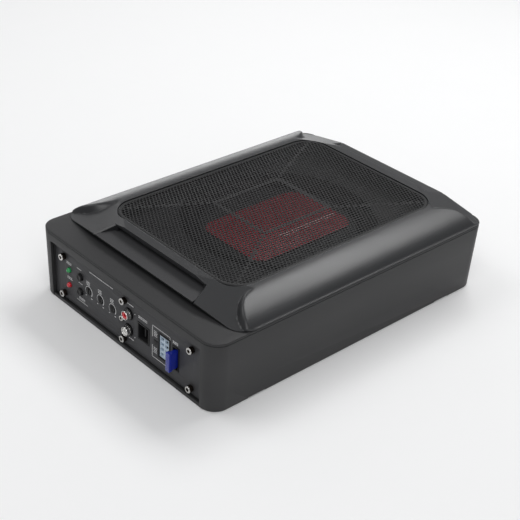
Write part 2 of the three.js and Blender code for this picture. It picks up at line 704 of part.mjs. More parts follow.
function piston() {
  return turned([
    [0, 60.2], [20.4, 60.2], [20.4, 53.5], [23, 53.5], [75.5, 60.4], [75.5, PISTON_TOP], [0, PISTON_TOP],
  ]);
}

function pistonBadge() {
  return prism(roundedShape(126, 85, 16), PISTON_TOP + GAP, PISTON_TOP + 1.2);
}

// The corrugated disc that centres the voice coil.
function spider() {
  const ripple = (r) => 45 + 1.1 * Math.sin((r - 24) * 2 * Math.PI / 9.6);
  const steps = 12;
  const radii = Array.from({ length: steps + 1 }, (_, i) => 24 + (52 - 24) * i / steps);
  return turned([
    [COIL_R + 0.9, 44.6],
    ...radii.map((r) => [r, ripple(r) - 0.35]),
    [53, 43.3],
    [60.5, 43.3],
    [60.5, 44],
    [53.4, 44],
    ...radii.reverse().map((r) => [r, ripple(r) + 0.35]),
    [COIL_R + 0.9, 45.4],
  ], 0, 0, 24);
}

function ring(inner, outer, z0, z1, sides = FACETS) {
  return turned([[inner, z0], [outer, z0], [outer, z1], [inner, z1]], 0, 0, sides);
}

// The steel cup's floor and the pole that stands in the coil.
function yoke() {
  return turned([[0, 5], [45, 5], [45, 10.8], [19, 10.8], [19, 31.2], [0, 31.2]]);
}

function wooferTerminal() {
  const plate = box(-86, -84, -8, 8, 42, 52);
  return join(plate, box(-92, -85, -6, -2, 46, 46.8), box(-92, -85, 2, 6, 46, 46.8));
}

add('woofer_basket', basket(), 'black', woofer);
add('woofer_surround', surround(), 'rubber', woofer);
add('woofer_piston', piston(), 'black', woofer);
add('piston_badge', pistonBadge(), 'red', woofer);
add('coil_former', ring(COIL_R, COIL_R + 0.5, 16, 59.9, 24), 'alloy', woofer);
add('voice_coil', ring(COIL_R + 0.8, COIL_R + 1.4, 23, 33, 24), 'copper', woofer);
add('woofer_spider', spider(), 'cloth', woofer);
add('magnet_top_plate', ring(21.6, 45, 25.4, 31.4), 'steel', woofer);
add('magnet_ring', ring(25, 50, 11.1, 25.1), 'ferrite', woofer);
add('magnet_yoke', yoke(), 'steel', woofer);
add('woofer_terminal', wooferTerminal(), 'brass', woofer);
BOLT_DEGREES.forEach((deg, i) => {
  add(`basket_screw_${i + 1}`, basketScrew(deg), 'steel', woofer);
});

// ---------------------------------------------------------------- amplifier
const MAIN_BOARD = { x0: -152, x1: -90, half: 98, z: 10, thick: 1.6 };
const FOOT = { x: 26, y: 92, r: 2.5 };   // board feet, from the middle of the board

function mainBoard() {
  const { x0, x1, half, z, thick } = MAIN_BOARD;
  const board = box(x0, x1, -half, half, z, z + thick);
  const feet = [-1, 1].flatMap((sx) => [-1, 1].map((sy) => {
    const x = (x0 + x1) / 2 + sx * FOOT.x;
    return post(FOOT.r, x, sy * FOOT.y, 2 + GAP, z + 0.5, 10);
  }));
  return join(board, ...feet);
}

function controlBoard() {
  return box(BOARD_X, BOARD_X + 1.6, -66, 96, 12.2, 50);
}

// A finned bar that carries the output transistor.
function heatSink() {
  const base = box(-148, -96, 76, 80, MAIN_BOARD.z + 1.9, 48);
  const fins = [0, 1, 2, 3, 4].map((i) => box(-148, -96, 79, 96, 14 + 7.5 * i, 16 + 7.5 * i));
  return join(base, ...fins);
}

function toroid() {
  return turned(arc(14, MAIN_BOARD.z + 11, 8.5, 0, 2 * Math.PI - Math.PI / 5, 9), -118, 28, 20);
}

function capacitor(y) {
  return post(9, -128, y, MAIN_BOARD.z + 1.9, 42, 20);
}

add('main_board', mainBoard(), 'board');
add('control_board', controlBoard(), 'board');
add('heat_sink', heatSink(), 'alloy');
add('power_toroid', toroid(), 'copper');
add('capacitor_a', capacitor(-26), 'black');
add('capacitor_b', capacitor(-50), 'black');
add('output_transistor', box(-130, -114, 70.7, 75.7, MAIN_BOARD.z + 4, 34), 'black');

export default subwoofer;
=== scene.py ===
import math
import random

import bmesh
import bpy
import numpy as np
from mathutils import Matrix, Vector


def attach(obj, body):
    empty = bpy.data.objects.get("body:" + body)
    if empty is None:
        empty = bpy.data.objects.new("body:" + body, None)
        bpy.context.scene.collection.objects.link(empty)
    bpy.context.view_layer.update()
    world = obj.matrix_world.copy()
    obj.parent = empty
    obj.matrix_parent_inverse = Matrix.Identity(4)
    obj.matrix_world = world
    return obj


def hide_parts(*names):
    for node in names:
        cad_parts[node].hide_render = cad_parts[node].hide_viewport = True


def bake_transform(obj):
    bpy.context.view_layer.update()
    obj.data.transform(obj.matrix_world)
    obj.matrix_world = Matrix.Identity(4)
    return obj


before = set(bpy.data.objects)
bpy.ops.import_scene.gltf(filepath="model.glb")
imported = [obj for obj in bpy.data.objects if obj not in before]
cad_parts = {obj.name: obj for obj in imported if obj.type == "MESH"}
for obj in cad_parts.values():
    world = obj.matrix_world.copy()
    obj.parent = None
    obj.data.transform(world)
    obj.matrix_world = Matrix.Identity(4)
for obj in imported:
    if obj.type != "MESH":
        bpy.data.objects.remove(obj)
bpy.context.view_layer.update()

# Sizes are in millimetres, in the CAD's own frame, and turned into metres when a mesh is made.
MM = 0.001
# The box: outline, deck plate, the lean of its walls and the recesses at their foot.
LENGTH, WIDTH = 345.0, 252.0
DECK_TOP, DECK_THICK, CORNER, DRAFT, WALL = 70.5, 2.5, 16.0, 1.5, 3.0
SHELL_TOP = 67.7
RECESS_X, RECESS_HALF, RECESS_HIGH = 121, 10, 1.5
# The cover: outline, rounded shoulders, end ramps, corner facets and the noses that end the shoulders.
COVER_FRONT, COVER_TOP, COVER_CORNER, COVER_SWEEP, COVER_BOTTOM = -149.5, 86.3, 19.0, 4.0, 70.8
COVER_SKIN = 1.4
SHOULDER_Y, SHOULDER_R = 92.2, 46.0
RAMP_Z, RAMP_IN, RAMP_OUT = 77.3, 19.2, 21.5
RAMP_HALF = {"edge": 70.7, "inner": 63.7, "slot": 61}
END_SLOPE, SIDE_SLOPE, FACET_FROM = 0.284, 0.172, 40
NOSE_X = {-1: -104.1, 1: 122.9}
NOSE_Y, NOSE_R, NOSE_ROUND = 126.9, 34.1, 4.5
# The grille: outline, sheet, its raised middle, and the pitch and radii of its holes.
GRILLE_X, GRILLE_L, GRILLE_W, GRILLE_R, GRILLE_Z = 10.0, 261.0, 178.6, 24.0, 84.5
SHEET, CROWN, MESH_THICK = 1.1, 2.6, 0.5
HIP_LOW, HIP_HIGH, HIP_HALF, HIP_BORDER = -37.0, 45.0, 36.0, 8.0
HOLE_PITCH, OPEN_HOLE, FOLD_HOLE = 3.7, 1.42, 0.8
# The control panel and what stands on it.
PANEL_X, PANEL_HALF, PANEL_TOP = -167.3, 107.5, 60.0
LED_Y, LED_Z, LED_R = 85.0, (21.8, 37.8), 2.5
BUTTON_Y, BUTTON_Z, BUTTON_R, BUTTON_OUT = 67.2, (23.5, 39.2), 3.5, 2.6
POT_Y, POT_R, POT_Z = (54.6, 36.8, 18.6), 3.3, 30.0
RCA_Y, RCA_Z, RCA_R, RCA_OUT = -5.9, (21.3, 38.2), 4.4, 5.4
SCREW_Y, SCREW_Z, SCREW_R, SCREW_HIGH = 92.7, (9.6, 49.3), 3.3, 4.5
RCA_SCREW = (2.9, 29.5)
INK_LIFT, INK_FOOT = 0.07, 0.005
# The woofer: its centre, the piston's top, the badge on it, the roll round it and the centring disc.
WOOFER_X, PISTON_TOP, DECK_HOLE_R = 14.5, 62.2, 95
BADGE_L, BADGE_W, BADGE_R, BADGE_HIGH = 126, 85, 15, 1.2
ROLL_MID, ROLL_Z, ROLL_R = 83.75, 61.7, 6.0
DISC_Z, DISC_IN, DISC_OUT, DISC_WAVE = 45, 24, 52, 9.6
rng = random.Random(7)


# ---------------------------------------------------------------- materials
def spread_over(nodes, links, factor, low, high):
    """A factor stretched so that it runs from low to high."""
    node = nodes.new("ShaderNodeMapRange")
    node.inputs["To Min"].default_value = low
    node.inputs["To Max"].default_value = high
    links.new(factor, node.inputs["Value"])
    return node.outputs["Result"]


def noise(nodes, links, coord, scale, detail=4.0, rough=0.6):
    node = nodes.new("ShaderNodeTexNoise")
    node.inputs["Scale"].default_value = scale
    node.inputs["Detail"].default_value = detail
    node.inputs["Roughness"].default_value = rough
    links.new(coord, node.inputs["Vector"])
    return node.outputs["Fac"]


def finish_material(name, color, roughness, metallic=0.0, grain=900.0, bump=0.05, spread=0.08,
                    mottle=0.12, edge=0.0, coat=0.0, clear=0.0, emission=0.0, stretch=None,
                    weave=False, specular=0.5):
    """A finish with its own grain: colour mottling, roughness that varies, fine bump and softened edges."""
    mat = bpy.data.materials.new(name)
    mat.use_nodes = True
    nodes, links = mat.node_tree.nodes, mat.node_tree.links
    shader = nodes["Principled BSDF"]
    coord = nodes.new("ShaderNodeTexCoord").outputs["Object"]
    if stretch:
        mapping = nodes.new("ShaderNodeMapping")
        mapping.inputs["Scale"].default_value = stretch
        links.new(coord, mapping.inputs["Vector"])
        coord = mapping.outputs["Vector"]
    wide = noise(nodes, links, coord, 14.0, 5.0)
    fine = noise(nodes, links, coord, grain, 3.0, 0.7)
    mix = nodes.new("ShaderNodeMix")
    mix.data_type = "RGBA"
    mix.inputs["A"].default_value = (*[c * (1 - mottle) for c in color], 1)
    mix.inputs["B"].default_value = (*[min(1, c * (1 + mottle)) for c in color], 1)
    blend = nodes.new("ShaderNodeMath")
    blend.operation = "MULTIPLY_ADD"
    blend.inputs[1].default_value = 0.45
    links.new(fine, blend.inputs[0])
    half = nodes.new("ShaderNodeMath")
    half.operation = "MULTIPLY"
    half.inputs[1].default_value = 0.55
    links.new(wide, half.inputs[0])
    links.new(half.outputs[0], blend.inputs[2])
    links.new(blend.outputs[0], mix.inputs["Factor"])
    links.new(mix.outputs["Result"], shader.inputs["Base Color"])
    low, high = max(0.02, roughness - spread), min(1, roughness + spread)
    links.new(spread_over(nodes, links, wide, low, high), shader.inputs["Roughness"])
    shader.inputs["Metallic"].default_value = metallic
    shader.inputs["Specular IOR Level"].default_value = specular
    shader.inputs["Coat Weight"].default_value = coat
    shader.inputs["Coat Roughness"].default_value = 0.25
    if clear:
        shader.inputs["Transmission Weight"].default_value = clear
        shader.inputs["IOR"].default_value = 1.49
    if emission:
        shader.inputs["Emission Color"].default_value = (*color, 1)
        shader.inputs["Emission Strength"].default_value = emission
    height = fine
    if weave:
        wave = nodes.new("ShaderNodeTexWave")
        wave.inputs["Scale"].default_value = 260.0
        wave.inputs["Distortion"].default_value = 1.5
        links.new(coord, wave.inputs["Vector"])
        height = wave.outputs["Fac"]
    relief = nodes.new("ShaderNodeBump")
    relief.inputs["Strength"].default_value = bump
    relief.inputs["Distance"].default_value = 0.0004
    links.new(height, relief.inputs["Height"])
    if edge:
        soften = nodes.new("ShaderNodeBevel")
        soften.samples = 6
        soften.inputs["Radius"].default_value = edge * MM
        links.new(soften.outputs["Normal"], relief.inputs["Normal"])
    links.new(relief.outputs["Normal"], shader.inputs["Normal"])
    return mat


FINISH = {
    "shell": finish_material("satin_powder_coat", (0.030, 0.030, 0.031), 0.46, grain=1500, bump=0.22,
                             edge=0.5, mottle=0.1, specular=0.38),
    "deck": finish_material("satin_powder_coat_deck", (0.030, 0.030, 0.031), 0.5, grain=1500, bump=0.22,
                            mottle=0.1, specular=0.3),
    "cover": finish_material("satin_moulding", (0.018, 0.0185, 0.020), 0.33, grain=1000, bump=0.2,
                             edge=0.5, mottle=0.1, spread=0.05, specular=0.55),
    # The ramp floors: the cover's moulding with a rougher finish, and a lighter colour that is painted light.
    "ramp": finish_material("moulding_floor_painted_light", (0.042, 0.042, 0.044), 0.5, grain=1500, bump=0.2,
                            mottle=0.08, specular=0.3),
    "mesh": finish_material("mesh_paint", (0.017, 0.017, 0.0175), 0.5, grain=1600, bump=0.1,
                            mottle=0.15, specular=0.25),
    "panel": finish_material("matt_panel_paint", (0.052, 0.052, 0.055), 0.55, grain=1800, bump=0.25,
                             mottle=0.1, specular=0.35),
    "ink": finish_material("white_ink", (0.62, 0.62, 0.62), 0.6, grain=2500, bump=0.08, mottle=0.1),
    "steel": finish_material("zinc_plate", (0.62, 0.61, 0.59), 0.26, metallic=1.0, grain=900, bump=0.06,
                             spread=0.1, edge=0.15),
    # Painted shade: a darker copy of the screws' steel for their flanks and sockets.
    "steel_painted_shade": finish_material("painted_shade_steel", (0.07, 0.055, 0.045), 0.4, metallic=1.0, grain=900, bump=0.06,
                                  edge=0.15),
    "nickel": finish_material("nickel_plate", (0.80, 0.79, 0.77), 0.16, metallic=1.0, grain=700, bump=0.04,
                              edge=0.12),
    "black": finish_material("black_moulding", (0.007, 0.007, 0.0075), 0.42, grain=1500, bump=0.16, mottle=0.2,
                             edge=0.25, specular=0.3),
    "rubber": finish_material("foam_rubber", (0.011, 0.011, 0.011), 0.85, grain=1900, bump=0.5, mottle=0.3,
                              specular=0.2),
    "red": finish_material("red_moulding", (0.62, 0.03, 0.04), 0.32, grain=1200, bump=0.06, coat=0.3),
    "white": finish_material("white_moulding", (0.82, 0.81, 0.78), 0.35, grain=1200, bump=0.06, coat=0.3),
    "nylon": finish_material("nylon", (0.46, 0.56, 0.66), 0.38, grain=1100, bump=0.08, mottle=0.08,
                             edge=0.15),
    "green_lens": finish_material("green_lens", (0.012, 0.26, 0.07), 0.2, grain=500, bump=0.03, coat=0.6,
                                  emission=0.1),
    "red_lens": finish_material("red_lens", (0.50, 0.012, 0.024), 0.2, grain=500, bump=0.03, coat=0.6,
                                emission=0.08),
    "fuse": finish_material("blue_fuse", (0.016, 0.035, 0.44), 0.16, grain=700, bump=0.05, coat=0.7,
                            clear=0.35, edge=0.3, mottle=0.15),
    "brass": finish_material("brass", (0.50, 0.40, 0.17), 0.32, metallic=1.0, grain=900, bump=0.08),
    "copper": finish_material("enamelled_copper", (0.55, 0.24, 0.09), 0.3, metallic=0.9, grain=400, bump=0.3,
                              stretch=(1, 1, 14), coat=0.4),
    "ferrite": finish_material("ferrite", (0.045, 0.045, 0.048), 0.62, metallic=0.2, grain=1500, bump=0.35),
    "board": finish_material("solder_mask", (0.015, 0.11, 0.045), 0.35, grain=260, bump=0.15, mottle=0.35,
                             coat=0.3),
    "cloth": finish_material("treated_cloth", (0.44, 0.28, 0.08), 0.85, grain=1500, bump=0.5, weave=True),
    "alloy": finish_material("extruded_alloy", (0.48, 0.49, 0.50), 0.34, metallic=1.0, grain=500, bump=0.1,
                             stretch=(1, 8, 1)),
    "cone": finish_material("pressed_cone", (0.010, 0.010, 0.011), 0.4, metallic=0.1, grain=1200, bump=0.1),
    "badge": finish_material("badge_red", (0.34, 0.022, 0.035), 0.45, grain=1200, bump=0.12, mottle=0.12,
                             edge=0.3),
    "badge_line": finish_material("badge_line", (0.75, 0.5, 0.5), 0.5, grain=1500, bump=0.08),
    "capacitor": finish_material("capacitor_sleeve", (0.012, 0.014, 0.02), 0.3, grain=600, bump=0.05, coat=0.5),
}


# ---------------------------------------------------------------- mesh helpers
def shade(mesh, angle=32.0):
    mesh.shade_smooth()
    mesh.set_sharp_from_angle(angle=math.radians(angle))


def new_object(name, verts, faces, finish=None, angle=32.0):
    """A closed mesh object from millimetre vertices."""
    mesh = bpy.data.meshes.new(name)
    mesh.from_pydata([tuple(c * MM for c in v) for v in verts], [], faces)
    obj = bpy.data.objects.new(name, mesh)
    bpy.context.scene.collection.objects.link(obj)
    work = bmesh.new()
    work.from_mesh(mesh)
    bmesh.ops.remove_doubles(work, verts=work.verts, dist=1e-7)
    bmesh.ops.recalc_face_normals(work, faces=work.faces)
    work.to_mesh(mesh)
    work.free()
    shade(mesh, angle)
    if finish:
        mesh.materials.append(FINISH[finish])
    return obj


def bake(obj, angle=32.0):
    """Turns the modifiers into the mesh."""
    bpy.context.view_layer.update()
    graph = bpy.context.evaluated_depsgraph_get()
    mesh = bpy.data.meshes.new_from_object(obj.evaluated_get(graph))
    obj.modifiers.clear()
    obj.data = mesh
    shade(mesh, angle)
    return obj


def drop(*objects):
    for obj in objects:
        bpy.data.objects.remove(obj)


def boolean(obj, cutters, operation="DIFFERENCE", angle=32.0):
    for cutter in cutters:
        modifier = obj.modifiers.new("boolean", "BOOLEAN")
        modifier.operation = operation
        modifier.solver = "EXACT"
        modifier.object = cutter
        bake(obj, angle)
    drop(*cutters)
    return obj


def bevel(obj, width, segments=2, limit=35.0, angle=32.0):
    modifier = obj.modifiers.new("bevel", "BEVEL")
    modifier.width = width * MM
    modifier.segments = segments
    modifier.limit_method = "ANGLE"
    modifier.angle_limit = math.radians(limit)
    modifier.use_clamp_overlap = True
    modifier.miter_outer = "MITER_ARC"
    return bake(obj, angle)


def place(obj, body, finish=None, replaces=()):
    if finish:
        obj.data.materials.clear()
        obj.data.materials.append(FINISH[finish])
    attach(obj, body)
    if replaces:
        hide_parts(*replaces)
    return obj


def joined(name, objects):
    """One object from several, their meshes side by side."""
    work = bmesh.new()
    for obj in objects:
        work.from_mesh(obj.data)
    mesh = bpy.data.meshes.new(name)
    work.to_mesh(mesh)
    work.free()
    for material in objects[0].data.materials:
        mesh.materials.append(material)
    drop(*objects)
    result = bpy.data.objects.new(name, mesh)
    bpy.context.scene.collection.objects.link(result)
    shade(mesh)
    return result


def rounded_outline(length, width, radius, cx=0.0, cy=0.0, steps=16):
    points = []
    hx, hy = length / 2 - radius, width / 2 - radius
    for sx, sy, start in ((1, -1, -90), (1, 1, 0), (-1, 1, 90), (-1, -1, 180)):
        for i in range(steps + 1):
            a = math.radians(start + 90 * i / steps)
            points.append((cx + sx * hx + radius * math.cos(a), cy + sy * hy + radius * math.sin(a)))
    return points


def loft(rings, cap=True):
    """Faces over rings of equal length, each joined to the next, with both ends capped."""
    n = len(rings[0])
    verts = [p for ring in rings for p in ring]
    faces = []
    for k in range(len(rings) - 1):
        for i in range(n):
            j = (i + 1) % n
            faces.append((k * n + i, k * n + j, (k + 1) * n + j, (k + 1) * n + i))
    if cap:
        faces.append(tuple(range(n - 1, -1, -1)))
        faces.append(tuple(range((len(rings) - 1) * n, len(rings) * n)))
    return verts, faces


def prism(name, outline, z0, z1, finish=None):
    verts, faces = loft([[(x, y, z0) for x, y in outline], [(x, y, z1) for x, y in outline]])
    return new_object(name, verts, faces, finish)


def block(name, x0, x1, y0, y1, z0, z1, finish=None):
    return prism(name, [(x0, y0), (x1, y0), (x1, y1), (x0, y1)], z0, z1, finish)


def turned(name, profile, origin, axis="Z", sides=64, finish=None, angle=32.0):
    """A closed profile of (radius, height) turned about an axis through origin."""
    verts, faces = [], []
    count = len(profile)
    for i in range(sides):
        a = 2 * math.pi * i / sides
        for r, h in profile:
            u, v = r * math.cos(a), r * math.sin(a)
            if axis == "X":
                verts.append((origin[0] + h, origin[1] + u, origin[2] + v))
            else:
                verts.append((origin[0] + u, origin[1] + v, origin[2] + h))
    for i in range(sides):
        j = (i + 1) % sides
        for k in range(count):
            m = (k + 1) % count
            if profile[k][0] < 1e-6 and profile[m][0] < 1e-6:
                continue
            faces.append((i * count + k, j * count + k, j * count + m, i * count + m))
    obj = new_object(name, verts, faces, finish, angle)
    work = bmesh.new()
    work.from_mesh(obj.data)
    bmesh.ops.dissolve_degenerate(work, dist=1e-7, edges=work.edges)
    bmesh.ops.recalc_face_normals(work, faces=work.faces)
    work.to_mesh(obj.data)
    work.free()
    shade(obj.data, angle)
    return obj


def refined(node, width, finish, body="box", segments=2, limit=40.0):
    """A copy of a CAD node with its flat faces merged and its edges rounded over."""
    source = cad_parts[node]
    mesh = source.data.copy()
    obj = bpy.data.objects.new(node + "_fine", mesh)
    bpy.context.scene.collection.objects.link(obj)
    work = bmesh.new()
    work.from_mesh(mesh)
    bmesh.ops.remove_doubles(work, verts=work.verts, dist=2e-6)
    bmesh.ops.dissolve_limit(work, angle_limit=math.radians(1.0), verts=work.verts, edges=work.edges)
    bmesh.ops.recalc_face_normals(work, faces=work.faces)
    work.to_mesh(mesh)
    work.free()
    mesh.materials.clear()
    bevel(obj, width, segments, limit)
    return place(obj, body, finish, [node])


# ---------------------------------------------------------------- box: shell, deck and base plate
def lean(z):
    """How far the walls stand in from the deck's edge at a height."""
    return DRAFT * (DECK_TOP - z) / DECK_TOP


def wall_ring(z, inset=0.0, steps=20):
    shift = lean(z) + inset
    outline = rounded_outline(LENGTH - 2 * shift, WIDTH - 2 * shift, CORNER - inset * 0.7, steps=steps)
    return [(x, y, z) for x, y in outline]


def make_shell():
    """The four walls, rounded over at their foot and top, with the panel's opening and the bracket recesses."""
    outer = [wall_ring(z, inset) for z, inset in (
        (0.0, 1.1), (0.35, 0.4), (1.1, 0.0), (20, 0), (45, 0), (SHELL_TOP - 0.5, 0), (SHELL_TOP - 0.12, 0.15),
        (SHELL_TOP, 0.5),
    )]
    inner = [wall_ring(z, WALL) for z in (SHELL_TOP, 0.0)]
    verts, faces = loft(outer + inner + [outer[0]], cap=False)
    shell = new_object("shell_walls", verts, faces, "shell")
    cutters = [block("opening", -LENGTH / 2 - 5, -LENGTH / 2 + 12, -PANEL_HALF, PANEL_HALF, -5, PANEL_TOP)]
    for x in (-RECESS_X, RECESS_X):
        for y0, y1 in ((-130, -118), (118, 130)):
            cutters.append(block("recess", x - RECESS_HALF, x + RECESS_HALF, y0, y1, -1, RECESS_HIGH))
    boolean(shell, cutters)
    place(shell, "box")


def make_deck():
    """The deck plate, rounded over at its rim, with the woofer's opening."""
    rings = [wall_ring(z, inset) for z, inset in (
        (DECK_TOP - DECK_THICK, 0.45), (DECK_TOP - DECK_THICK + 0.3, 0.05), (DECK_TOP - 0.75, 0.0),
        (DECK_TOP - 0.4, 0.12), (DECK_TOP - 0.12, 0.4), (DECK_TOP, 0.95),
    )]
    verts, faces = loft(rings)
    deck = new_object("deck_plate", verts, faces, "deck")
    profile = [(0, 60), (DECK_HOLE_R, 60), (DECK_HOLE_R, 75), (0, 75)]
    boolean(deck, [turned("hole", profile, (WOOFER_X, 0, 0), sides=96)])
    place(deck, "box", "deck", ["top_deck"])


def make_inner_frame():
    """The shell's inner frame, lugs and posts; its walls have their own finer mesh."""
    inner_frame = refined("body_shell", 0.05, "shell")
    inner_frame.name = "panel_frame"
    gap = 2 * (WALL + DRAFT) - 0.6
    room = prism("room", rounded_outline(LENGTH - gap, WIDTH - gap, 13), -2, SHELL_TOP + 1)
    boolean(inner_frame, [room], "INTERSECT")


make_shell()
make_deck()
make_inner_frame()


# ---------------------------------------------------------------- saddle cover
def facet_height(x, ay, end):
    """Height of an end's corner facets, which fall towards the end and the sides from the ramp's corners."""
    edge = abs(COVER_FRONT) if end < 0 else LENGTH / 2
    return RAMP_Z + END_SLOPE * edge + SIDE_SLOPE * 70 - END_SLOPE * end * x - SIDE_SLOPE * ay


def cover_height(x, y):
    """Height of the cover's upper surface: a saddle cut by four corner facets round the shoulders' ends."""
    ay = np.abs(y)
    run = np.clip(ay - SHOULDER_Y, 0, SHOULDER_R)
    saddle = COVER_TOP - SHOULDER_R + np.sqrt(SHOULDER_R ** 2 - run ** 2)
    height = saddle.copy()
    for end in (-1, 1):
        beyond = end * (x - NOSE_X[end])
        ring = np.hypot(np.maximum(beyond, 0), NOSE_Y - ay) - NOSE_R
        away = np.where(beyond > 0, ring, NOSE_Y - NOSE_R - ay)
        facet = np.minimum(facet_height(x, ay, end), saddle)
        slide = np.clip(away + NOSE_ROUND, 0, NOSE_ROUND) / NOSE_ROUND
        nose = saddle - (saddle - facet) * slide ** 2
        here = np.where(away >= 0, facet, nose)
        height = np.where(end * x > FACET_FROM, np.minimum(height, here), height)
    return height


def cover_solid():
    """The cover's upper surface on a fine grid, closed below by walls and a floor that are cut off later."""
    step = 1.3
    xs = np.arange(COVER_FRONT - 2.6, LENGTH / 2 + 3.9, step)
    ys = np.arange(-WIDTH / 2 - 1.95, WIDTH / 2 + 2.6, step)
    ys = np.concatenate([-ys[ys > 0][::-1], ys[ys > 0]])
    gx, gy = np.meshgrid(xs, ys, indexing="ij")
    top = cover_height(gx, np.clip(gy, -WIDTH / 2, WIDTH / 2))
    nx, ny = gx.shape
    verts = [(float(a), float(b), float(c)) for a, b, c in zip(gx.ravel(), gy.ravel(), top.ravel())]
    faces = []
    for i in range(nx - 1):
        for j in range(ny - 1):
            faces.append((i * ny + j, (i + 1) * ny + j, (i + 1) * ny + j + 1, i * ny + j + 1))
    border = [i * ny for i in range(nx)]
    border += [(nx - 1) * ny + j for j in range(1, ny)]
    border += [i * ny + ny - 1 for i in range(nx - 2, -1, -1)]
    border += [j for j in range(ny - 2, 0, -1)]
    base = len(verts)
    verts += [(verts[k][0], verts[k][1], 60.0) for k in border]
    n = len(border)
    for k in range(n):
        m = (k + 1) % n
        faces.append((border[k], base + k, base + m, border[m]))
    faces.append(tuple(base + k for k in range(n)))
    return new_object("saddle_cover", verts, faces, "cover")


def cover_outline(steps=20):
    """The cover from above: its panel-end corners sweep back from the middle of the front edge."""
    points = []
    back, half = LENGTH / 2, WIDTH / 2
    corner = COVER_FRONT + COVER_SWEEP + COVER_CORNER
    for cx, cy, r, start in (
        (back - CORNER, half - CORNER, CORNER, 0),
        (corner, half - COVER_CORNER, COVER_CORNER, 90),
        (corner, -half + COVER_CORNER, COVER_CORNER, 180),
        (back - CORNER, -half + CORNER, CORNER, 270),
    ):
        if start == 180:
            points += [(COVER_FRONT, RAMP_HALF["edge"]), (COVER_FRONT, -RAMP_HALF["edge"])]
        for i in range(steps + 1):
            a = math.radians(start + 90 * i / steps)
            points.append((cx + r * math.cos(a), cy + r * math.sin(a)))
    return points


def sloped_prism(name, region, end, below, above):
    """A prism between two surfaces that run along an end's corner facets."""
    low = [(x, y, facet_height(x, abs(y), end) + below) for x, y in region]
    high = [(x, y, facet_height(x, abs(y), end) + above) for x, y in region]
    verts, faces = loft([low, high])
    return new_object(name, verts, faces)


def ramp_cutters(end):
    """The ramp at one end, the slot behind it and the chamfers on the fins beside it."""
    edge = COVER_FRONT if end < 0 else LENGTH / 2
    past = edge + end * 2
    inner = edge - end * (RAMP_IN if end < 0 else RAMP_OUT)
    wide, narrow, slot_half = RAMP_HALF["edge"], RAMP_HALF["inner"], RAMP_HALF["slot"]
    recess = prism("recess", [(past, -wide), (past, wide), (inner, narrow), (inner, -narrow)], RAMP_Z, 100)
    slot_x = sorted((inner + end, inner - end * 4))
    slot = block("slot", *slot_x, -slot_half, slot_half, RAMP_Z, GRILLE_Z - 2)
    cutters = [recess, slot]
    for side in (-1, 1):
        points = []
        for x, y in ((inner - end * 0.5, narrow - 0.2), (past, wide + 0.1)):
            surface = min(COVER_TOP, facet_height(x, y, end))
            for dy, dz in ((-0.4, -1.9), (1.7, 0.1), (1.7, 6), (-0.4, 6)):
                points.append((x, side * (y + dy), surface + dz))
        faces = [(0, 1, 2, 3), (7, 6, 5, 4), (0, 4, 5, 1), (1, 5, 6, 2), (2, 6, 7, 3), (3, 7, 4, 0)]
        cutters.append(new_object("fin_chamfer", points, faces))
    return cutters


def make_cover():
    """The cover: its outline, ramps, the grille's seat and mouth, and the hollow under its front edge."""
    cover = cover_solid()
    boolean(cover, [prism("outline", cover_outline(), COVER_BOTTOM, 100)], "INTERSECT")
    boolean(cover, ramp_cutters(-1) + ramp_cutters(1))
    seat_outline = rounded_outline(GRILLE_L + 1.4, GRILLE_W + 1.4, GRILLE_R + 0.7, GRILLE_X)
    seat = prism("seat", seat_outline, GRILLE_Z - 0.6, 100)
    mouth = prism("mouth", rounded_outline(GRILLE_L - 6, GRILLE_W - 6, GRILLE_R - 3, GRILLE_X), 60, 100)
    boolean(cover, [seat, mouth])
    before, behind = COVER_FRONT - 1, COVER_FRONT + 7
    boolean(cover, [block("under", before, behind, -70, 70, 60, RAMP_Z - COVER_SKIN)])
    for side in (-1, 1):
        region = [(before, side * 69), (behind, side * 69), (behind, side * 102), (before, side * 108)]
        boolean(cover, [sloped_prism("under_side", region, -1, -20, -COVER_SKIN)])
    place(cover, "box", "cover", ["top_cover"])
    # The cover's up-facing ramp floors take the lighter ramp copy of the moulding: partly a rougher finish,
    # partly painted light.
    cover.data.materials.append(FINISH["ramp"])
    for face in cover.data.polygons:
        if face.normal.z > 0.99 and abs(face.center.z - RAMP_Z * MM) < 0.2 * MM:
            face.material_index = 1


make_cover()


# ---------------------------------------------------------------- grille
def hip_shares(x, y):
    """How far each side of the embossed sheet has risen at a point, lowest first; 1 is the flat middle."""
    x0, x1 = GRILLE_X - GRILLE_L / 2 + HIP_BORDER, GRILLE_X + GRILLE_L / 2 - HIP_BORDER
    half = GRILLE_W / 2 - HIP_BORDER
    side = (half - abs(y)) / (half - HIP_HALF)
    return sorted(((x - x0) / (HIP_LOW - x0), (x1 - x) / (x1 - HIP_HIGH), side, 1.0))


def crown(x, y):
    """Rise of the embossed sheet: four folds run up to a flat middle."""
    return CROWN * max(0.0, hip_shares(x, y)[0])


def on_fold(x, y):
    """True within a hole or so of the line where two sides of the embossed sheet meet."""
    low, second = hip_shares(x, y)[:2]
    return low > 0.02 and second - low < 0.028


def inside_sheet(x, y, inset):
    hx, hy, r = GRILLE_L / 2 - inset, GRILLE_W / 2 - inset, GRILLE_R - inset
    dx, dy = abs(x - GRILLE_X) - (hx - r), abs(y) - (hy - r)
    return math.hypot(max(dx, 0), max(dy, 0)) <= r


def corners_round(cx, cy, radius, count):
    """The corners of a regular polygon, the first at 30 degrees."""
    turns = [math.radians(30 + 360 / count * k) for k in range(count)]
    return [(cx + radius * math.cos(a), cy + radius * math.sin(a)) for a in turns]


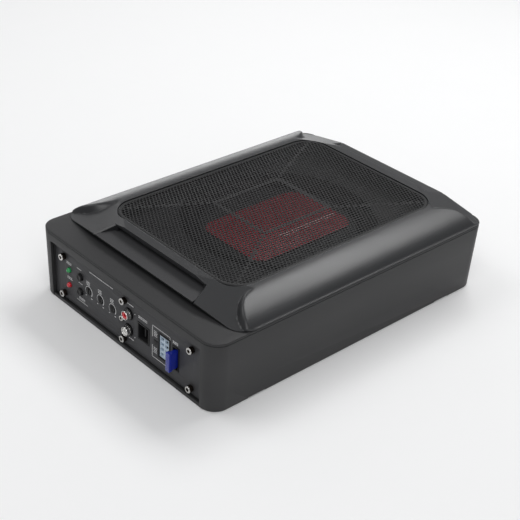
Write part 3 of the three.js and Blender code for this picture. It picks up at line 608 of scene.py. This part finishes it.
def make_mesh_sheet():
    """The sheet as hexagons side by side, each with a hole of twelve sides."""
    row = HOLE_PITCH * math.sqrt(3) / 2
    verts, faces, index = [], [], {}

    def vertex(x, y, dz):
        key = (round(x, 3), round(y, 3), dz)
        if key not in index:
            index[key] = len(verts)
            verts.append((x, y, GRILLE_Z + SHEET + crown(x, y) - dz))
        return index[key]

    def add_hexagon(cx, cy):
        outer = corners_round(cx, cy, HOLE_PITCH / math.sqrt(3), 6)
        inner = corners_round(cx, cy, FOLD_HOLE if on_fold(cx, cy) else OPEN_HOLE, 12)
        for k in range(6):
            loop = [outer[k], outer[(k + 1) % 6], inner[(2 * k + 2) % 12], inner[2 * k + 1], inner[2 * k]]
            top = [vertex(x, y, 0.0) for x, y in loop]
            low = [vertex(x, y, MESH_THICK) for x, y in loop]
            faces.append(tuple(top))
            faces.append(tuple(reversed(low)))
            faces.append((top[3], top[4], low[4], low[3]))
            faces.append((top[2], top[3], low[3], low[2]))

    rows = int(GRILLE_W / row / 2) + 2
    columns = int(GRILLE_L / HOLE_PITCH / 2) + 2
    for j in range(-rows, rows + 1):
        for i in range(-columns, columns + 1):
            cx = GRILLE_X + (i + (0.5 if j % 2 else 0.0)) * HOLE_PITCH
            if inside_sheet(cx, j * row, 1.9):
                add_hexagon(cx, j * row)
    mesh = bpy.data.meshes.new("mesh_sheet")
    mesh.from_pydata([tuple(c * MM for c in v) for v in verts], [], faces)
    obj = bpy.data.objects.new("mesh_sheet", mesh)
    bpy.context.scene.collection.objects.link(obj)
    work = bmesh.new()
    work.from_mesh(mesh)
    rim = [e for e in work.edges if len(e.link_faces) == 1]
    bmesh.ops.bridge_loops(work, edges=rim)
    bmesh.ops.recalc_face_normals(work, faces=work.faces)
    work.to_mesh(mesh)
    work.free()
    shade(mesh, 20)
    place(obj, "box", "mesh", ["grille"])


def make_mesh_rim():
    """The plain border round the holes, rounded over along its outer and inner edges."""
    rings = []
    for inset, rise in ((0.0, 0.05), (0.0, 0.75), (0.35, 1.1), (1.0, 1.3), (2.2, 1.3), (3.1, 1.15), (3.3, 0.6),
                        (3.1, 0.05)):
        length, width = GRILLE_L - 2 * inset, GRILLE_W - 2 * inset
        outline = rounded_outline(length, width, GRILLE_R - inset, GRILLE_X, steps=24)
        rings.append([(x, y, GRILLE_Z + rise) for x, y in outline])
    verts, faces = loft(rings + [rings[0]], cap=False)
    place(new_object("mesh_rim", verts, faces, "mesh"), "box", "mesh")


make_mesh_sheet()
make_mesh_rim()


# ---------------------------------------------------------------- control panel
def make_screw(name, y, z, head_r, head_h, replaced):
    """A socket head screw; its flank and its socket are painted darker than its face, which is painted shade."""
    socket = head_r * 0.52
    floor = 1.6 - head_h
    profile = [(0, -0.2), (head_r * 0.98, -0.2), (head_r, -0.5), (head_r, 0.45 - head_h),
               (head_r - 0.35, -head_h), (socket, -head_h), (socket - 0.15, 0.25 - head_h),
               (socket - 0.15, floor), (0, floor)]
    head = turned(name, profile, (PANEL_X, y, z), "X", 40, "steel")
    place(head, "box", "steel", [replaced])
    # The flank and the socket take the darker steel: painted shade.
    head.data.materials.append(FINISH["steel_painted_shade"])
    for face in head.data.polygons:
        reach = math.hypot(face.center.y / MM - y, face.center.z / MM - z)
        if reach > head_r * 0.97 or reach < socket * 0.97:
            face.material_index = 1


def make_button(name, z):
    r, out = BUTTON_R, BUTTON_OUT
    profile = [(0, 4), (r, 4), (r, 0.5 - out), (r - 0.15, 0.15 - out), (r - 0.5, -out), (r - 1.0, -out),
               (r - 1.4, 0.25 - out), (0, 0.4 - out)]
    cap = turned(name + "_cap", profile, (PANEL_X, BUTTON_Y, z), "X", 48, "black")
    place(cap, name, "black", [name])


def make_spindle(name, y):
    """A trimmer's end with a slot for a small screwdriver."""
    profile = [(0, 3), (POT_R, 3), (POT_R, -0.1), (POT_R - 0.3, -0.4), (0, -0.4)]
    knob = turned(name + "_slotted", profile, (PANEL_X, y, POT_Z), "X", 48, "black")
    slot_cut = block("slot_cut", PANEL_X - 2, PANEL_X + 1.4, y - 0.6, y + 0.6, POT_Z - 2.6, POT_Z + 2.6)
    boolean(knob, [slot_cut])
    place(knob, name + "_spindle", "black", [name + "_spindle"])


def make_phono(tone, z):
    """A phono socket: a plated sleeve with a groove round it and a coloured insert."""
    r, out = RCA_R, RCA_OUT
    centre = (PANEL_X, RCA_Y, z)
    profile = [(r - 0.7, 7), (r, 7), (r, -1.9), (r - 0.12, -2.0), (r - 0.12, -2.3), (r, -2.4), (r, 0.35 - out),
               (r - 0.2, 0.05 - out), (r - 0.5, -out), (r - 0.7, 0.3 - out)]
    sleeve = turned(f"phono_sleeve_{tone}", profile, centre, "X", 56, "nickel")
    place(sleeve, "box", "nickel", [f"rca_sleeve_{tone}"])
    profile = [(1.6, 3), (1.6, 0.9 - out), (1.9, 0.6 - out), (r - 1.2, 0.6 - out), (r - 0.95, 0.9 - out),
               (r - 0.95, 7), (0.4, 7), (0.4, 3)]
    insert = turned(f"phono_insert_{tone}", profile, centre, "X", 48, tone)
    place(insert, "box", tone, [f"rca_insert_{tone}"])


def make_lamp(name, z, tone):
    turns = [math.radians(a) for a in range(0, 91, 9)]
    dome = [(LED_R * math.sin(a), -0.6 - LED_R * math.cos(a)) for a in turns]
    lens = turned(name + "_lens", dome + [(LED_R, 9), (0, 9)], (PANEL_X, LED_Y, z), "X", 40, tone)
    place(lens, "box", tone, [name])


screw_places = [(y, z) for y in (-SCREW_Y, 0, SCREW_Y) for z in SCREW_Z]
for number, (y, z) in enumerate(screw_places, 1):
    make_screw(f"cap_screw_{number}", y, z, SCREW_R, SCREW_HIGH, f"panel_screw_{number}")
make_screw("socket_screw", *RCA_SCREW, 2.7, 2.6, "rca_screw")

refined("control_panel", 0.12, "panel")
refined("bottom_plate", 0.3, "shell")
refined("power_socket", 0.2, "black")
refined("high_level_socket", 0.25, "black")
refined("power_terminals", 0.2, "nylon")
refined("fuse_holder", 0.2, "black")
refined("blade_fuse", 0.45, "fuse", "blade_fuse", 3)

for name, z in zip(("mode_button", "phase_button"), BUTTON_Z):
    make_button(name, z)
for name, y in zip(("gain", "crossover", "bass"), POT_Y):
    make_spindle(name, y)
for tone, z in zip(("white", "red"), RCA_Z):
    make_phono(tone, z)
make_lamp("protect_lamp", LED_Z[0], "red_lens")
make_lamp("power_lamp", LED_Z[1], "green_lens")


# ---------------------------------------------------------------- marks printed on the panel
def bar(y0, y1, z0, z1):
    return block("bar", PANEL_X - INK_LIFT, PANEL_X - INK_FOOT, min(y0, y1), max(y0, y1), z0, z1)


def caption_bars(y, z, lines, length, height=0.75, gap=1.5):
    """Rows of short strokes that stand for small printing without being any words."""
    strokes = []
    right = y - length / 2
    for k in range(lines):
        left = y + length / 2
        while left > right + 0.5:
            run = min(rng.uniform(1.2, 2.6), left - right)
            strokes.append(bar(left, left - run, z - k * gap, z - k * gap + height))
            left -= run + rng.uniform(0.35, 0.6)
    return strokes


def wedge_arc(y, z, r, start, stop, thin, thick):
    """A scale that swells from thin to thick as it goes round, in degrees from the panel's right."""
    steps = 40
    outside, inside = [], []
    for i in range(steps + 1):
        t = i / steps
        a = math.radians(start + (stop - start) * t)
        w = thin + (thick - thin) * t
        outside.append((y - (r + w) * math.cos(a), z + (r + w) * math.sin(a)))
        inside.append((y - r * math.cos(a), z + r * math.sin(a)))
    outline = outside + inside[::-1]
    rings = [[(PANEL_X - lift, a, b) for a, b in outline] for lift in (INK_LIFT, INK_FOOT)]
    verts, faces = loft(rings, cap=False)
    n = len(outline)
    for i in range(steps):
        a, b, c, d = i, i + 1, n - 2 - i, n - 1 - i
        faces.append((a, b, c, d))
        faces.append((n + d, n + c, n + b, n + a))
    return new_object("arc", verts, faces)


def make_print():
    """The scales, captions and frame; each caption is its centre, top line, count of lines and length."""
    marks = []
    for y in POT_Y:
        marks.append(wedge_arc(y, POT_Z, 4.9, 225, -40, 0.15, 0.85))
        marks.append(bar(y + 3.7, y + 4.9, POT_Z - 6.3, POT_Z - 5.5))
        marks.append(bar(y - 3.4, y - 5.4, POT_Z - 6.5, POT_Z - 5.6))
        marks += caption_bars(y + 0.6, POT_Z + 9.3, 3, 5.2)
    for caption in (
        (85.5, 45.2, 2, 8.0), (84.5, 29.6, 2, 8.0), (69.5, 46.2, 1, 6.5), (67.5, 31.6, 1, 6.0),
        (65.5, 16.2, 2, 9.0), (65.0, 12.4, 1, 17.0, 0.6), (35.0, 51.2, 1, 36.0, 0.9), (-8.0, 48.0, 1, 9.0, 0.9),
        (-9.6, 12.8, 1, 7.5, 0.9), (-25.6, 43.2, 2, 12.5), (-70.6, 43.4, 2, 7.0, 0.9),
    ):
        marks += caption_bars(*caption)
    for stroke in (
        (2.8, -1.6, 33.6, 34.5), (-14.0, -15.0, 41.6, 42.6), (-14.0, -15.0, 17.0, 18.0),
        (-39.0, -63.6, 44.4, 45.0), (-39.0, -39.6, 33.0, 45.0), (-63.0, -63.6, 42.4, 45.0),
        (-39.0, -39.6, 12.0, 24.5), (-39.0, -63.6, 12.0, 12.6), (-63.0, -63.6, 12.0, 14.6),
    ):
        marks.append(bar(*stroke))
    for z in (39.6, 22.4):
        marks += caption_bars(-43.6, z, 4, 4.6, 0.7, 1.6)
    place(joined("panel_print", marks), "box", "ink")


make_print()


# ---------------------------------------------------------------- woofer as seen through the mesh
def make_badge():
    """The badge, a plate with its top edge drawn in a little."""
    top = PISTON_TOP + BADGE_HIGH
    outline = rounded_outline(BADGE_L, BADGE_W, BADGE_R, WOOFER_X, 0, steps=10)
    rings = [[(x, y, z) for x, y in outline] for z in (PISTON_TOP + 0.3, top - 0.3)]
    rings.append([(WOOFER_X + (x - WOOFER_X) * 0.992, y * 0.99, top) for x, y in outline])
    verts, faces = loft(rings)
    badge = new_object("red_badge", verts, faces, "badge")
    place(badge, "moving_cone", "badge", ["piston_badge"])


def make_badge_marks():
    """One plain line on the badge and a row of ticks beside it."""
    top = PISTON_TOP + BADGE_HIGH
    marks = [block("line", -1, 73, -17.0, -16.0, top, top + 0.15)]
    for i in range(24):
        marks.append(block("tick", 1 + i * 3, 2.2 + i * 3, -20.6, -19.2, top, top + 0.15))
    place(joined("badge_marks", marks), "moving_cone", "badge_line")


def arc_points(r, z, radius, start, stop, steps=16):
    """Points of an arc in (radius, height), from one angle in degrees to another."""
    points = []
    for i in range(steps + 1):
        a = math.radians(start + (stop - start) * i / steps)
        points.append((r + radius * math.cos(a), z + radius * math.sin(a)))
    return points


def make_suspension(name, profile, finish, replaced):
    """A ring turned about the woofer's axis, standing in for a CAD part."""
    ring = turned(name, profile, (WOOFER_X, 0, 0), "Z", 96, finish)
    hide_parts(replaced)
    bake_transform(ring)


def make_surround():
    """A half roll with a flat lip on each side, glued to the piston and to the basket."""
    low, high, ledge = ROLL_Z - 0.2, ROLL_Z + 0.8, 7.7
    profile = [(75.8, low)] + arc_points(ROLL_MID, low, ROLL_R - 1, 180, 0) + [(93.0, low), (93.0, high)]
    profile += arc_points(ROLL_MID, ROLL_Z, ROLL_R, ledge, 180 - ledge) + [(75.8, high)]
    make_suspension("half_roll", profile, "rubber", "woofer_surround")


def make_spider():
    """The corrugated disc that centres the voice coil, with a flat rim that stands on the basket."""
    steps = 36
    radii = [DISC_IN + (DISC_OUT - DISC_IN) * i / steps for i in range(steps + 1)]
    ripple = [(r, DISC_Z + 1.1 * math.sin((r - DISC_IN) * 2 * math.pi / DISC_WAVE)) for r in radii]
    profile = [(20.4, 44.6)] + [(r, z - 0.35) for r, z in ripple] + [(53.0, 43.3), (60.5, 43.3)]
    profile += [(60.5, 44.0), (53.4, 44.0)] + [(r, z + 0.35) for r, z in reversed(ripple)] + [(20.4, 45.4)]
    make_suspension("centring_disc", profile, "cloth", "woofer_spider")


make_badge()
make_badge_marks()
make_surround()
make_spider()

# The solids that keep their own shape and only get a finish.
CARRIED = {
    "rubber": ["panel_gasket"],
    "black": ["mode_switch", "phase_switch", "gain_trimmer", "crossover_trimmer", "bass_trimmer", "rca_block",
              "woofer_basket", "output_transistor"],
    "brass": ["fuse_contact_low", "fuse_contact_high", "woofer_terminal"],
    "cone": ["woofer_piston"],
    "alloy": ["coil_former", "heat_sink"],
    "copper": ["voice_coil", "power_toroid"],
    "steel": ["magnet_top_plate", "magnet_yoke"] + [f"basket_screw_{number}" for number in range(1, 5)],
    "ferrite": ["magnet_ring"],
    "board": ["main_board", "control_board"],
    "capacitor": ["capacitor_a", "capacitor_b"],
}
for finish, nodes in CARRIED.items():
    for node in nodes:
        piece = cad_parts[node]
        piece.data.materials.clear()
        piece.data.materials.append(FINISH[finish])
        shade(piece.data, 35)


# ---------------------------------------------------------------- floor, light and camera
def stage_floor():
    """A plain pale floor just under the box."""
    reach, drop_by = 6.0, -0.0002
    corners = [(-reach, -reach), (reach, -reach), (reach, reach), (-reach, reach)]
    mesh = bpy.data.meshes.new("floor")
    mesh.from_pydata([(x, y, drop_by) for x, y in corners], [], [(0, 1, 2, 3)])
    floor = bpy.data.objects.new("floor", mesh)
    bpy.context.scene.collection.objects.link(floor)
    paint = finish_material("pale_floor", (0.90, 0.90, 0.90), 0.7, grain=60, bump=0.0, mottle=0.01, specular=0.1)
    mesh.materials.append(paint)


def softbox(name, position, target, size, power):
    """A rectangular lamp that faces its target; places and sizes are in metres."""
    light = bpy.data.lights.new(name, "AREA")
    light.shape = "RECTANGLE"
    light.size, light.size_y = size
    light.energy = power
    lamp = bpy.data.objects.new(name, light)
    bpy.context.scene.collection.objects.link(lamp)
    lamp.location = position
    lamp.rotation_euler = (Vector(target) - Vector(position)).to_track_quat("-Z", "Y").to_euler()


stage_floor()
softbox("key", (1.02, 0.14, 1.40), (0, 0, 0.08), (1.3, 0.6), 15)
softbox("backdrop", (1.20, 1.85, 0.24), (0, 0.05, 0.08), (1.3, 0.42), 5)
softbox("far_side", (0.36, 1.70, 1.10), (0, 0, 0.08), (0.6, 0.5), 1.2)
softbox("overhead", (-0.64, 0.82, 1.53), (-0.12, 0.1, 0.08), (0.9, 0.9), 6)
softbox("front_fill", (-0.95, -1.15, 1.75), (0, 0, 0.04), (1.5, 1.5), 17)

world = bpy.data.worlds.new("studio")
world.use_nodes = True
background = world.node_tree.nodes["Background"]
background.inputs["Color"].default_value = (0.97, 0.98, 1.0, 1)
background.inputs["Strength"].default_value = 0.3
bpy.context.scene.world = world
bpy.context.scene.view_settings.view_transform = "Standard"

# The camera stands off the panel's corner; its roll is a small tilt to one side.
AZIMUTH, ELEVATION, ROLL = math.radians(-44.19), math.radians(31.38), math.radians(3.78)
CAMERA_AT = (-0.6799, -0.6926, 0.6201)
level = math.cos(ELEVATION)
back = Vector((math.sin(AZIMUTH) * level, -math.cos(AZIMUTH) * level, math.sin(ELEVATION)))
right = Vector((math.cos(AZIMUTH), math.sin(AZIMUTH), 0))
up = back.cross(right)
axis_x = right * math.cos(ROLL) + up * math.sin(ROLL)
axis_y = up * math.cos(ROLL) - right * math.sin(ROLL)
camera_data = bpy.data.cameras.new("camera")
camera_data.lens = 81.5
camera_data.sensor_width = 36
camera = bpy.data.objects.new("camera", camera_data)
bpy.context.scene.collection.objects.link(camera)
turned_to = Matrix((axis_x, axis_y, back)).transposed().to_4x4()
camera.matrix_world = Matrix.Translation(CAMERA_AT) @ turned_to
bpy.context.scene.camera = camera
